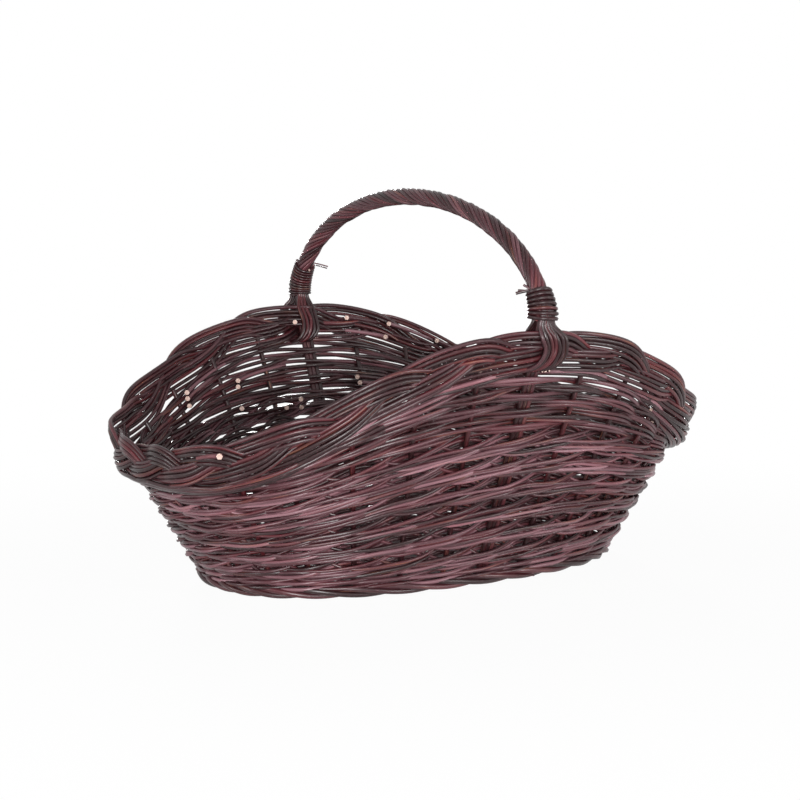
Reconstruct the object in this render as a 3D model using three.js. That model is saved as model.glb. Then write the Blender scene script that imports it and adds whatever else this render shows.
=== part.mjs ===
import * as THREE from "three";

// A boat-shaped log basket of brown willow: an oval woven floor, upright stakes, waling round the lower wall,
// packing on the two raised sides, a plaited border and a roped bow handle across the middle.
// Millimetres, +Z up, +X along the basket, with the origin on the ground under its centre.

// Wall. Lengths and widths run between the centres of opposite stakes.
const rimLength = 616;
const rimWidth = 434;
const baseLength = 432;
const baseWidth = 236;
const endHeight = 156;
const sideHeight = 256;
const [planFullness, riseSharpness] = [2.38, 4.2];

// Counts of the weave. Each repeat of the plait takes in three stakes.
const [stakePlaces, waleRounds, packingRows, plaitRepeats, plaitSteps] = [30, 6, 3, 10, 10];
const packingSpread = [4, 4, 4];

// Strokes of the waling. Shares of the pitch, for the lowest and highest bundle just before and after an upright.
const outerStrokes = [[-0.29, -0.04], [-0.16, 0.19]];
const innerStrokes = [[0.28, 0.28], [0, 0]];
const [strokeSpread, bundleLimit] = [0.3, 0.325];

// Rods of the wall.
const fitGap = 0.35;
const stakeDiameter = 7;
const toeLength = 31;
const weaverThickness = 4.6;
const bundleHeight = 10.2;
const flatMargin = 1.5;
const footHeight = 21;
const rowGap = 1.2;
const packingEndHeight = 2;
const packingSideHeight = 53;
const packingSlit = 6.5;

// Plaited border.
const borderHeight = 46;
const strandWidth = 16;
const strandThickness = 5.4;
const plaitSlack = 3.7;
const endFlare = 11;
const uprightRun = 34;
const [endLean, sideLean] = [33, 20].map(THREE.MathUtils.degToRad);

// Floor.
const floorLift = 2;
const floorStickDiameter = 6.4;
const crossStickWidth = 7;
const crossStickSpacing = 72;
const slotWall = 3.2;
const floorWeaveThickness = 3.4;
const floorEdge = 14;
const floorSeam = 2;
const slathLength = 300;
const slathWidth = 40;
const crossingFlat = 13;

// Handle.
const handleHeight = 387;
const bowDiameter = 10.4;
const ropeThickness = 3.5;
const ropeSeam = 1.2;
const ropeRounding = 0.6;
const tuckWidth = 10;
const tuckDepth = 5;
const archOutset = 2;
const archLift = 2;
const legFoot = 4;
const bindingLift = 12;
const bindingEase = 0.3;
const nearBinding = { loops: 5, rod: 3.4, pitch: 6.5, tail: 22, side: -1 };
const farBinding = { loops: 7, rod: 2.6, pitch: 5.15, tail: 26, side: 1 };
const [ropeTurns, ropeSteps, bowSteps, bindingSteps] = [3, 36, 36, 14];
const [stakeSides, stickSides, bowSides, bindingSides] = [6, 8, 8, 5];

const { lerp } = THREE.MathUtils;
const fullTurn = Math.PI * 2;
const nearSide = 1.5 * Math.PI;
const farSide = 0.5 * Math.PI;

const bark = new THREE.MeshStandardMaterial({ color: 0x5a4143, roughness: 0.55, metalness: 0 });
const darkBark = new THREE.MeshStandardMaterial({ color: 0x3b2a2b, roughness: 0.6, metalness: 0 });
const redBark = new THREE.MeshStandardMaterial({ color: 0x693b3f, roughness: 0.5, metalness: 0 });

const basket = new THREE.Group();

function addPiece(name, geometry, material) {
  geometry.computeVertexNormals();
  const piece = new THREE.Mesh(geometry, material);
  piece.name = name;
  basket.add(piece);
}

// A closed solid through a row of loops, each turning anticlockwise about the direction of travel.
function loft(loops, closed) {
  const sides = loops[0].length;
  const faces = [];
  const spans = closed ? loops.length : loops.length - 1;
  for (let i = 0; i < spans; i++) {
    const here = i * sides;
    const next = ((i + 1) % loops.length) * sides;
    for (let j = 0; j < sides; j++) {
      const k = (j + 1) % sides;
      faces.push(here + j, here + k, next + k, here + j, next + k, next + j);
    }
  }
  const last = (loops.length - 1) * sides;
  for (let j = 1; j < sides - 1 && !closed; j++) {
    faces.push(0, j + 1, j, last, last + j, last + j + 1);
  }
  const geometry = new THREE.BufferGeometry();
  geometry.setFromPoints(loops.flat());
  geometry.setIndex(faces);
  return geometry;
}

// Points round a regular section, anticlockwise from the first axis to the second.
function roundLoop(centre, first, second, radius, sides) {
  return Array.from({ length: sides }, (_, i) => {
    const angle = ((i + 0.5) / sides) * fullTurn;
    return centre.clone()
      .addScaledVector(first, radius * Math.cos(angle))
      .addScaledVector(second, radius * Math.sin(angle));
  });
}

// The plan is a superellipse, followed by the angle of the plain ellipse inside it.
function planScale(angle) {
  const sum = Math.abs(Math.cos(angle)) ** planFullness + Math.abs(Math.sin(angle)) ** planFullness;
  return sum ** (-1 / planFullness);
}

function planPoint(angle, halfLength, halfWidth) {
  const scale = planScale(angle);
  return new THREE.Vector2(scale * halfLength * Math.cos(angle), scale * halfWidth * Math.sin(angle));
}

function planNormal(angle, halfLength, halfWidth) {
  const point = planPoint(angle, 1, 1);
  const power = planFullness - 1;
  const x = (Math.sign(point.x) * Math.abs(point.x) ** power) / halfLength;
  const y = (Math.sign(point.y) * Math.abs(point.y) ** power) / halfWidth;
  return new THREE.Vector2(x, y).normalize();
}

// The angle at which the plan, taken as one unit each way, reaches a share of its length.
function angleAtShare(share) {
  const slope = (Math.abs(share) ** -planFullness - 1) ** (1 / planFullness);
  return Math.atan2(slope, Math.sign(share));
}

// The rim climbs from the low ends to the middle of the long sides.
const climb = (angle) => Math.abs(planPoint(angle, 1, 1).y) ** riseSharpness;
const rimTop = (angle) => lerp(endHeight, sideHeight, climb(angle));
const packingTop = (angle) => rimTop(angle) - borderHeight;
const waleTop = (angle) => packingTop(angle) - lerp(packingEndHeight, packingSideHeight, climb(angle));

// A point on the middle of the wall, or moved out of it by a reach. Stakes run straight from floor to rim.
function wallPoint(angle, height, reach = 0) {
  const share = height / rimTop(angle);
  const plan = planPoint(angle, lerp(baseLength, rimLength, share) / 2, lerp(baseWidth, rimWidth, share) / 2);
  const normal = planNormal(angle, (baseLength + rimLength) / 4, (baseWidth + rimWidth) / 4);
  plan.addScaledVector(normal, reach);
  return new THREE.Vector3(plan.x, plan.y, height);
}

// How much longer a leaning rod is across the wall than across itself.
function leanStretch(angle) {
  const rod = wallPoint(angle, rimTop(angle)).sub(wallPoint(angle, 0));
  return rod.length() / rod.z;
}

function angleOf(length, angle, height) {
  const step = 0.001;
  return (length * step) / wallPoint(angle, height).distanceTo(wallPoint(angle + step, height));
}

const placeAngle = (place) => ((place + 0.5) / stakePlaces) * fullTurn;
const placeOfNear = (nearSide / fullTurn) * stakePlaces - 0.5;
const placeOfFar = (farSide / fullTurn) * stakePlaces - 0.5;
const isBowPlace = (place) => place === placeOfNear || place === placeOfFar;
const uprightRadius = (place) => (isBowPlace(place) ? bowDiameter : stakeDiameter) / 2;
const allPlaces = Array.from({ length: stakePlaces }, (_, place) => place);

// Section of a flat bundle of weaving rods, as shares of half its thickness and half its height.
const bundleSection = [[-1, 1], [0.5, 1], [1, 0.6], [1, -0.6], [0.5, -1], [-1, -1]];

function wallLoop(angle, reach, low, high, thickness) {
  return bundleSection.map(([out, up]) =>
    wallPoint(angle, lerp(low, high, (up + 1) / 2), reach + (out * thickness) / 2));
}

// A weaver along the wall, on one side or the other of each upright that it passes.
function wallWeaver(places, sideOf, lowAt, highAt, closed) {
  const loops = [];
  for (const place of places) {
    const angle = placeAngle(place);
    const radius = uprightRadius(place);
    const reach = sideOf(place) * (radius * leanStretch(angle) + fitGap + weaverThickness / 2);
    const flat = angleOf(radius + flatMargin, angle, lowAt(angle));
    for (const at of [angle - flat, angle + flat]) {
      loops.push(wallLoop(at, reach, lowAt(at), highAt(at), weaverThickness));
    }
  }
  return loft(loops, closed);
}

// Stakes: a toe lies in the floor, and the rod is pricked up and runs straight to the border.
const toeHeight = floorLift + floorWeaveThickness + fitGap + stakeDiameter / 2;

function stake(place) {
  const angle = placeAngle(place);
  const foot = wallPoint(angle, toeHeight);
  const top = wallPoint(angle, packingTop(angle) - fitGap);
  const rod = top.clone().sub(foot).normalize();
  const outward = new THREE.Vector3(rod.x, rod.y, 0).normalize();
  const along = new THREE.Vector3(0, 0, 1).cross(outward);
  const toeNormal = new THREE.Vector3(0, 0, 1);
  const rodNormal = rod.clone().cross(along);
  const mitre = toeNormal.clone().add(rodNormal);
  mitre.multiplyScalar(2 / mitre.lengthSq());
  const tip = foot.clone().addScaledVector(outward, -toeLength);
  const radius = stakeDiameter / 2;
  const loops = [
    roundLoop(tip, along, toeNormal, radius, stakeSides),
    roundLoop(foot, along, mitre, radius, stakeSides),
    roundLoop(top, along, rodNormal, radius, stakeSides),
  ];
  return loft(loops, false);
}

let stakeNumber = 0;
for (const place of allPlaces.filter((each) => !isBowPlace(each))) {
  stakeNumber += 1;
  addPiece(`stake_${String(stakeNumber).padStart(2, "0")}`, stake(place), bark);
}

// The foot wale lies outside every stake and carries the basket on its flat underside.
const footTop = footHeight - 2 * rowGap;
addPiece("foot_wale", wallWeaver(allPlaces, () => 1, () => 0, () => footTop, true), darkBark);

// Waling: three weavers share each round. Their strokes climb past every upright on the outside, cross between
// two uprights and drop behind one on the inside, so a round is an outer and an inner bar joined at each crossing.
const walePitch = (angle) => (waleTop(angle) - footHeight) / waleRounds;
const strokeTurn = (strokeSpread * fullTurn) / stakePlaces;

// How far the middle of a straight stroke falls inside the curve of the wall.
function strokeSag(angle, height) {
  const middle = wallPoint(angle - strokeTurn, height).lerp(wallPoint(angle + strokeTurn, height), 0.5);
  return middle.distanceTo(wallPoint(angle, height));
}

// The section of a round just before or after an upright: outer face, both faces of the gap, inner face.
function strokeCorners(round, place, after) {
  const angle = placeAngle(place);
  const at = angle + (after ? strokeTurn : -strokeTurn);
  const pitch = walePitch(at);
  const middle = footHeight + (round + 0.5) * pitch;
  const half = Math.min(bundleHeight / 2, bundleLimit * pitch - rowGap / 2);
  const hold = uprightRadius(place) * leanStretch(angle) + fitGap;
  const sag = strokeSag(angle, middle);
  const reaches = [hold + sag + weaverThickness, hold + sag, -hold, -hold - weaverThickness];
  return reaches.flatMap((reach) => {
    const [lowest, highest] = (reach > 0 ? outerStrokes : innerStrokes)[Number(after)];
    const heights = [middle + lowest * pitch - half, middle + highest * pitch + half];
    return heights.map((height) => wallPoint(at, height, reach));
  });
}

function waleRound(round) {
  const sections = allPlaces.flatMap((place) => [false, true].map((after) => strokeCorners(round, place, after)));
  const size = sections[0].length;
  const faces = [];
  const quad = (p, q, r, s) => faces.push(p, q, r, p, r, s);
  sections.forEach((_, i) => {
    const pairs = [i, (i + 1) % sections.length].map((section) =>
      [0, 1, 2, 3].map((row) => [section * size + row * 2, section * size + row * 2 + 1]));
    const [[outer, front, back, inner], [outerNext, frontNext, backNext, innerNext]] = pairs;
    quad(outer[0], outerNext[0], outerNext[1], outer[1]);
    quad(inner[0], inner[1], innerNext[1], innerNext[0]);
    quad(outer[1], outerNext[1], frontNext[1], front[1]);
    quad(outer[0], front[0], frontNext[0], outerNext[0]);
    quad(back[1], backNext[1], innerNext[1], inner[1]);
    quad(back[0], inner[0], innerNext[0], backNext[0]);
    const isPast = i % 2 === 0;
    if (isPast) {
      quad(front[0], front[1], frontNext[1], frontNext[0]);
      quad(back[0], backNext[0], backNext[1], back[1]);
      quad(front[0], back[0], back[1], front[1]);
    } else {
      quad(front[1], frontNext[1], backNext[1], back[1]);
      quad(front[0], back[0], backNext[0], frontNext[0]);
      quad(front[0], front[1], back[1], back[0]);
    }
  });
  const geometry = new THREE.BufferGeometry();
  geometry.setFromPoints(sections.flat());
  geometry.setIndex(faces);
  return geometry;
}

for (let round = 0; round < waleRounds; round++) {
  addPiece(`wale_round_${round + 1}`, waleRound(round), bark);
}

// Packing: rows in plain weave fan out under the border of each raised side and end at chosen stakes.
const packingPitch = (angle) => (packingTop(angle) - waleTop(angle) - rowGap) / packingRows;
for (const [side, middle] of [["near", placeOfNear], ["far", placeOfFar]]) {
  for (const [row, spread] of packingSpread.entries()) {
    const places = allPlaces.filter((place) => Math.abs(place - middle) <= spread);
    const sideOf = (place) => ((place + row) % 2 === 0 ? 1 : -1);
    const lowAt = (angle) => waleTop(angle) + rowGap + row * packingPitch(angle);
    const slit = (angle) => (packingSlit * packingPitch(angle)) / packingPitch(placeAngle(middle));
    const highAt = (angle) => lowAt(angle) + packingPitch(angle) - slit(angle);
    addPiece(`packing_${side}_${row + 1}`, wallWeaver(places, sideOf, lowAt, highAt, false), bark);
  }
}

// Border: three bundles plaited along the rim, bowed out on either side of the handle's bow.
const plaitSwing = (borderHeight - strandWidth) / 2;
const plaitDepth = (strandThickness + plaitSlack) / (2 * Math.sin(Math.PI / 3));
const plaitStart = Math.PI / 4;
const bowPassage = (bowDiameter / 2) * leanStretch(nearSide) + 2 * fitGap + strandThickness / 2;
const bowBerth = bowDiameter + fitGap;
const plaitSection = [[0, 1], [0.85, 0.55], [0.85, -0.55], [0, -1], [-0.85, -0.55], [-0.85, 0.55]];

// The plait leans in at the top, most at the ends, and stands upright where the bow passes through it.
function borderPoint(angle, up, out) {
  const middle = rimTop(angle) - borderHeight / 2;
  const toBow = Math.min(...[nearSide, farSide].map((bow) =>
    wallPoint(angle, middle).distanceTo(wallPoint(bow, middle))));
  const lean = lerp(endLean, sideLean, climb(angle)) * (1 - Math.exp(-((toBow / uprightRun) ** 2)));
  const drop = (borderHeight / 2) * (1 - Math.cos(lean));
  const height = middle - drop + up * Math.cos(lean) + out * Math.sin(lean);
  const reach = out * Math.cos(lean) - up * Math.sin(lean) + endFlare * (1 - climb(angle));
  return wallPoint(angle, height, reach);
}

function borderStrand(strand) {
  const phaseAt = (angle) => plaitRepeats * angle + plaitStart + (strand * fullTurn) / 3;
  const crossing = (angle) => -plaitDepth * Math.sin(2 * phaseAt(angle));
  const steps = plaitRepeats * plaitSteps;
  const loops = [];
  for (let i = 0; i < steps; i++) {
    const angle = (i / steps) * fullTurn;
    const swing = plaitSwing * Math.sin(phaseAt(angle));
    const middle = rimTop(angle) - borderHeight / 2 + swing;
    let depth = crossing(angle);
    for (const bow of [nearSide, farSide]) {
      const away = wallPoint(angle, middle).distanceTo(wallPoint(bow, middle)) / bowBerth;
      const room = Math.sign(crossing(bow)) * bowPassage - crossing(bow);
      depth += room * Math.exp(-(away ** 2));
    }
    loops.push(plaitSection.map(([out, up]) =>
      borderPoint(angle, swing + (up * strandWidth) / 2, depth + (out * strandThickness) / 2)));
  }
  return loft(loops, true);
}

for (let strand = 0; strand < 3; strand++) {
  addPiece(`border_strand_${strand + 1}`, borderStrand(strand), redBark);
}

// Floor: cross sticks pierced by a pair of long sticks, with bands woven over and under them.
// The sticks reach the woven edge that holds the toes of the stakes.
const floorLevel = toeHeight;
const floorHalf = (inset) => [baseLength / 2 - inset, baseWidth / 2 - inset];
const toeInset = toeLength + floorSeam;
const [weaveHalfLength, weaveHalfWidth] = floorHalf(toeInset);
const [stickHalfLength, stickHalfWidth] = floorHalf(toeLength - floorSeam + fitGap);
const longStickPlace = floorStickDiameter / 2 + fitGap / 2;

for (const side of [-1, 1]) {
  const start = new THREE.Vector3(-stickHalfLength, side * longStickPlace, floorLevel);
  const end = start.clone().setX(stickHalfLength);
  const across = [new THREE.Vector3(0, 1, 0), new THREE.Vector3(0, 0, 1)];
  const ends = [start, end].map((point) => roundLoop(point, ...across, floorStickDiameter / 2, stickSides));
  addPiece(`floor_long_stick_${side < 0 ? 1 : 2}`, loft(ends, false), darkBark);
}

function crossStick(x) {
  const slotWidth = longStickPlace + floorStickDiameter / 2 + fitGap;
  const slotHeight = floorStickDiameter / 2 + fitGap;
  const [bulgeWidth, bulgeHeight] = [slotWidth + slotWall, slotHeight + slotWall];
  const stem = floorStickDiameter / 2;
  const farther = Math.abs(x) + crossStickWidth / 2;
  const halfLength = planPoint(angleAtShare(farther / stickHalfLength), 1, stickHalfWidth).y;
  const outline = new THREE.Shape();
  outline.moveTo(-halfLength, -stem);
  outline.lineTo(-bulgeWidth - slotWall, -stem);
  outline.lineTo(-bulgeWidth, -bulgeHeight);
  outline.lineTo(bulgeWidth, -bulgeHeight);
  outline.lineTo(bulgeWidth + slotWall, -stem);
  outline.lineTo(halfLength, -stem);
  outline.lineTo(halfLength, stem);
  outline.lineTo(bulgeWidth + slotWall, stem);
  outline.lineTo(bulgeWidth, bulgeHeight);
  outline.lineTo(-bulgeWidth, bulgeHeight);
  outline.lineTo(-bulgeWidth - slotWall, stem);
  outline.lineTo(-halfLength, stem);
  const slot = new THREE.Path();
  slot.moveTo(-slotWidth, -slotHeight);
  slot.lineTo(-slotWidth, slotHeight);
  slot.lineTo(slotWidth, slotHeight);
  slot.lineTo(slotWidth, -slotHeight);
  outline.holes.push(slot);
  const geometry = new THREE.ExtrudeGeometry(outline, { depth: crossStickWidth, bevelEnabled: false });
  geometry.translate(0, 0, -crossStickWidth / 2);
  geometry.applyMatrix4(new THREE.Matrix4().makeBasis(
    new THREE.Vector3(0, 1, 0), new THREE.Vector3(0, 0, 1), new THREE.Vector3(1, 0, 0)));
  geometry.translate(x, 0, floorLevel);
  return geometry;
}

const crossPlaces = [1.5, 0.5, -0.5, -1.5].map((share) => share * crossStickSpacing);
crossPlaces.forEach((x, i) => addPiece(`floor_cross_stick_${i + 1}`, crossStick(x), darkBark));

function floorLoop(angle, inner, outer, height) {
  const from = planPoint(angle, ...inner);
  const to = planPoint(angle, ...outer);
  return bundleSection.map(([out, up]) => {
    const plan = from.clone().lerp(to, (out + 1) / 2);
    return new THREE.Vector3(plan.x, plan.y, height + (up * floorWeaveThickness) / 2);
  });
}

// A band over and under the sticks: each crossing is flat, and a few loops round each corner ease it along.
function floorBand(fromShare, toShare, firstSide) {
  const edge = (share) => [
    lerp(slathLength / 2, weaveHalfLength, share), lerp(slathWidth / 2, weaveHalfWidth, share)];
  const [inner, outer, middle] = [edge(fromShare), edge(toShare), edge((fromShare + toShare) / 2)];
  const endFlat = longStickPlace + floorStickDiameter / 2 + flatMargin;
  const endAngle = Math.PI / 2 - angleAtShare(endFlat / middle[1]);
  const crossings = [[-endAngle, endAngle]];
  for (const x of crossPlaces) {
    crossings.push([x + crossingFlat, x - crossingFlat].map((at) => angleAtShare(at / middle[0])));
  }
  const half = crossings.length;
  for (let i = 0; i < half; i++) {
    crossings.push(crossings[i].map((angle) => angle + Math.PI));
  }
  const rise = floorStickDiameter / 2 + fitGap + floorWeaveThickness / 2;
  const loops = [];
  crossings.forEach(([from, to], i) => {
    const side = i % 2 === 0 ? firstSide : -firstSide;
    loops.push(floorLoop(from, inner, outer, floorLevel + side * rise));
    loops.push(floorLoop(to, inner, outer, floorLevel + side * rise));
    const next = crossings[(i + 1) % crossings.length][0] + (i + 1 === crossings.length ? fullTurn : 0);
    const eased = [0, 4].includes(i % half) ? [0.25, 0.5, 0.75] : [];
    for (const share of eased) {
      const height = floorLevel + side * rise * (1 - 2 * share);
      loops.push(floorLoop(lerp(to, next, share), inner, outer, height));
    }
  });
  return loft(loops, true);
}

addPiece("floor_weave_inner", floorBand(0, 0.49, 1), bark);
addPiece("floor_weave_outer", floorBand(0.52, 1, -1), bark);

// The edge of the floor is woven over and under the toes of the stakes.
function floorEdgeBand() {
  const inner = floorHalf(toeLength - floorSeam);
  const outer = floorHalf(floorEdge);
  const rise = stakeDiameter / 2 + fitGap + floorWeaveThickness / 2;
  const loops = [];
  for (const place of allPlaces) {
    const angle = placeAngle(place);
    const height = floorLevel + (place % 2 === 0 ? rise : -rise);
    const flat = angleOf(stakeDiameter / 2 + flatMargin + floorSeam, angle, 0);
    loops.push(floorLoop(angle - flat, inner, outer, height), floorLoop(angle + flat, inner, outer, height));
  }
  return loft(loops, true);
}

addPiece("floor_weave_edge", floorEdgeBand(), bark);

// Handle: the bow stands in the wall at the middle of both sides, in place of a stake.
const ropeInner = bowDiameter / 2 + 4 * fitGap;
const ropeOuter = ropeInner + ropeThickness;

function bowPoints() {
  const legs = [legFoot, packingTop(nearSide) / 2, packingTop(nearSide), sideHeight - borderHeight / 2];
  const points = legs.map((height) => wallPoint(nearSide, height));
  const [half, foot] = [rimWidth / 2 + archOutset, sideHeight + archLift];
  const rise = handleHeight - ropeOuter - foot;
  for (const degrees of [5, 15, 25, 36, 48, 62, 76, 90]) {
    const angle = THREE.MathUtils.degToRad(degrees);
    points.push(new THREE.Vector3(
      0, -half * Math.cos(angle), foot + rise * Math.sin(angle)));
  }
  const mirrored = points.slice(0, -1).reverse().map((point) => point.clone().setY(-point.y));
  return [...points, ...mirrored];
}

const bowPath = new THREE.CatmullRomCurve3(bowPoints(), false, "centripetal");
bowPath.arcLengthDivisions = 600;
const bowLength = bowPath.getLength();

// The frame of the bow at a length along it: its centre, its outward side and its direction.
function bowFrame(length) {
  const share = THREE.MathUtils.clamp(length / bowLength, 0, 1);
  const centre = bowPath.getPointAt(share);
  const tangent = bowPath.getTangentAt(share);
  const outward = new THREE.Vector3(0, -tangent.z, tangent.y);
  return { centre, outward, sideways: new THREE.Vector3(1, 0, 0) };
}

function bowLoop(length, radius, sides) {
  const { centre, outward, sideways } = bowFrame(length);
  return roundLoop(centre, outward, sideways, radius, sides);
}

function lengthAtHeight(height) {
  let [low, high] = [0, bowLength / 2];
  while (high - low > 0.01) {
    const middle = (low + high) / 2;
    if (bowFrame(middle).centre.z < height) low = middle;
    else high = middle;
  }
  return low;
}

// Roping: four bundles wind round the bow, and at each foot two pass outside the border and two inside.
const tuckStart = lengthAtHeight(sideHeight - borderHeight - tuckDepth);
const flareStart = lengthAtHeight(sideHeight + fitGap);
const ropeStart = lengthAtHeight(sideHeight + bindingLift);
const tuckInner = bowPassage + plaitDepth / 2 + strandThickness / 2 + fitGap;
const tuckOuter = tuckInner + ropeThickness;

// One side of a bundle's section: where it lies round the bow and how far out, from tuck to rope.
function ropeShape(fromFoot, quarter) {
  const share = THREE.MathUtils.clamp((fromFoot - flareStart) / (ropeStart - flareStart), 0, 1);
  const outer = lerp(tuckOuter, ropeOuter, share);
  const inner = lerp(tuckInner, ropeInner, share);
  const tuckHalf = Math.asin(tuckWidth / 2 / tuckInner);
  const seam = ropeSeam / ropeInner / 2;
  const half = lerp(tuckHalf, Math.PI / 4 - seam, share);
  const centre = [1, -1, -1, 1][quarter] * lerp(tuckHalf + seam, Math.PI / 4, share);
  return { inner, outer, half, centre: centre + (quarter > 1 ? Math.PI : 0) };
}

function ropeLoop(length, quarter) {
  const { centre, outward, sideways } = bowFrame(length);
  const shape = ropeShape(Math.min(length, bowLength - length), quarter);
  const wound = THREE.MathUtils.clamp((length - ropeStart) / (bowLength - 2 * ropeStart), 0, 1);
  const middle = shape.centre + wound * ropeTurns * fullTurn;
  const corners = [[-1, shape.outer - ropeRounding], [0, shape.outer], [1, shape.outer - ropeRounding]];
  corners.push([1, shape.inner], [0, shape.inner], [-1, shape.inner]);
  return corners.map(([side, radius]) => {
    const angle = middle + side * shape.half;
    return centre.clone()
      .addScaledVector(outward, radius * Math.cos(angle))
      .addScaledVector(sideways, radius * Math.sin(angle));
  });
}

const bowStations = [0];
for (let i = 0; i <= bowSteps; i++) {
  bowStations.push(lerp(tuckStart, bowLength - tuckStart, i / bowSteps));
}
bowStations.push(bowLength);
const bowLoops = bowStations.map((length) => bowLoop(length, bowDiameter / 2, bowSides));
addPiece("handle_bow", loft(bowLoops, false), darkBark);

const ropeStations = [];
const footStations = [tuckStart, (tuckStart + flareStart) / 2, flareStart, (flareStart + ropeStart) / 2];
ropeStations.push(...footStations);
for (let i = 0; i <= ropeSteps; i++) {
  ropeStations.push(lerp(ropeStart, bowLength - ropeStart, i / ropeSteps));
}
ropeStations.push(...footStations.reverse().map((length) => bowLength - length));
for (let quarter = 0; quarter < 4; quarter++) {
  const loops = ropeStations.map((length) => ropeLoop(length, quarter));
  addPiece(`handle_rope_${quarter + 1}`, loft(loops, false), redBark);
}

// Bindings: a thin rod wound over the roping at each foot, with its last end left standing out.
function bindingPath(binding, fromFar) {
  const radius = ropeOuter + fitGap + binding.rod / 2 + bindingEase;
  const points = [];
  const steps = binding.loops * bindingSteps;
  for (let i = 0; i <= steps; i++) {
    const along = ropeStart + binding.rod / 2 + (i / bindingSteps) * binding.pitch;
    const { centre, outward, sideways } = bowFrame(fromFar ? bowLength - along : along);
    const angle = (i / bindingSteps) * fullTurn * binding.side;
    points.push(centre.addScaledVector(outward, -radius * Math.cos(angle))
      .addScaledVector(sideways, radius * Math.sin(angle)));
  }
  const runOut = (from, to, length) => {
    const direction = to.clone().sub(from).normalize();
    return to.clone().addScaledVector(direction, length);
  };
  points.unshift(runOut(points[1], points[0], binding.rod));
  points.push(runOut(points.at(-2), points.at(-1), binding.tail));
  return points;
}

function windingGap(points, rod) {
  let least = Infinity;
  const apart = bindingSteps / 2;
  for (let i = 0; i < points.length; i++) {
    for (let j = i + apart; j < points.length; j++) {
      const segment = new THREE.Line3(points[j - 1], points[j]);
      const nearest = segment.closestPointToPoint(points[i], true, new THREE.Vector3());
      least = Math.min(least, nearest.distanceTo(points[i]));
    }
  }
  return least - rod;
}

function windingTube(points, rod) {
  const loops = points.map((point, i) => {
    const before = points[Math.max(i - 1, 0)];
    const after = points[Math.min(i + 1, points.length - 1)];
    const tangent = after.clone().sub(before).normalize();
    const along = new THREE.Vector3(0, 0, 1);
    const first = along.addScaledVector(tangent, -along.dot(tangent)).normalize();
    return roundLoop(point, first, tangent.clone().cross(first), rod / 2, bindingSides);
  });
  return loft(loops, false);
}

for (const [name, binding, fromFar] of [["near", nearBinding, false], ["far", farBinding, true]]) {
  const points = bindingPath(binding, fromFar);
  console.log(`handle_binding_${name}: least gap to itself ${windingGap(points, binding.rod).toFixed(2)} mm`);
  addPiece(`handle_binding_${name}`, windingTube(points, binding.rod), redBark);
}

export default basket;
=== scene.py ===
import math

import bmesh
import bpy
import numpy as np
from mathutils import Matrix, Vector


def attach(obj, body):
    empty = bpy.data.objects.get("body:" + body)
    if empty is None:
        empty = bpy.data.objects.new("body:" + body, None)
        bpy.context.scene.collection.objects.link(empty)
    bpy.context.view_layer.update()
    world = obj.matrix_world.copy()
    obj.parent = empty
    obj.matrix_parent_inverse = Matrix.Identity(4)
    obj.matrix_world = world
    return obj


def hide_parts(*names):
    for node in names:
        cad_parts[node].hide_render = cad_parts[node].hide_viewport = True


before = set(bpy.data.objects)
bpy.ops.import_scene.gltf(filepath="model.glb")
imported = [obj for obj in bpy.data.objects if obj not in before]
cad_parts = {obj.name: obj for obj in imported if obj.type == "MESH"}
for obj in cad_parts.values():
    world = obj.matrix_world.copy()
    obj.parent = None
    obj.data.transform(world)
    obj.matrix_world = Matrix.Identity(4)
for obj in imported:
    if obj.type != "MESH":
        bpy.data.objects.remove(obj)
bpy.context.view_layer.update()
scene = bpy.context.scene
dice = np.random.default_rng(20)
fullTurn = 2 * math.pi
print("basket frame loaded:", len(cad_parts), "solids")


# shader sockets as Python values
class Wire:
    def __init__(self, tree, socket=None):
        self.tree = tree
        self.socket = socket

    def node(self, kind, settings, inputs, output=0):
        made = self.tree.nodes.new("ShaderNode" + kind)
        for key, value in settings.items():
            if key == "stops":
                ramp = made.color_ramp.elements
                while len(ramp) < len(value):
                    ramp.new(0.5)
                for element, (position, colour) in zip(ramp, value):
                    element.position = position
                    element.color = (*colour, 1)
            else:
                setattr(made, key, value)
        for key, value in inputs.items():
            if isinstance(value, Wire):
                self.tree.links.new(value.socket, made.inputs[key])
            else:
                made.inputs[key].default_value = value
        return Wire(self.tree, made.outputs[output])

    def maths(self, operation, first, second):
        return self.node("Math", {"operation": operation}, {0: first, 1: second})

    def __add__(self, other):
        return self.maths("ADD", self, other)

    def __sub__(self, other):
        return self.maths("SUBTRACT", self, other)

    def __rsub__(self, other):
        return self.maths("SUBTRACT", other, self)

    def __mul__(self, other):
        return self.maths("MULTIPLY", self, other)

    __radd__ = __add__
    __rmul__ = __mul__

    def feed(self, node, name):
        self.tree.links.new(self.socket, node.inputs[name])


def srgb(*values):  # picture colour, 0 to 255, as linear light
    shares = [value / 255 for value in values]
    return tuple(v / 12.92 if v < 0.04 else ((v + 0.055) / 1.055) ** 2.4 for v in shares)


def newMaterial(name):
    material = bpy.data.materials.new(name)
    material.use_nodes = True
    shader = material.node_tree.nodes["Principled BSDF"]
    return material, shader, Wire(material.node_tree)


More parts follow.
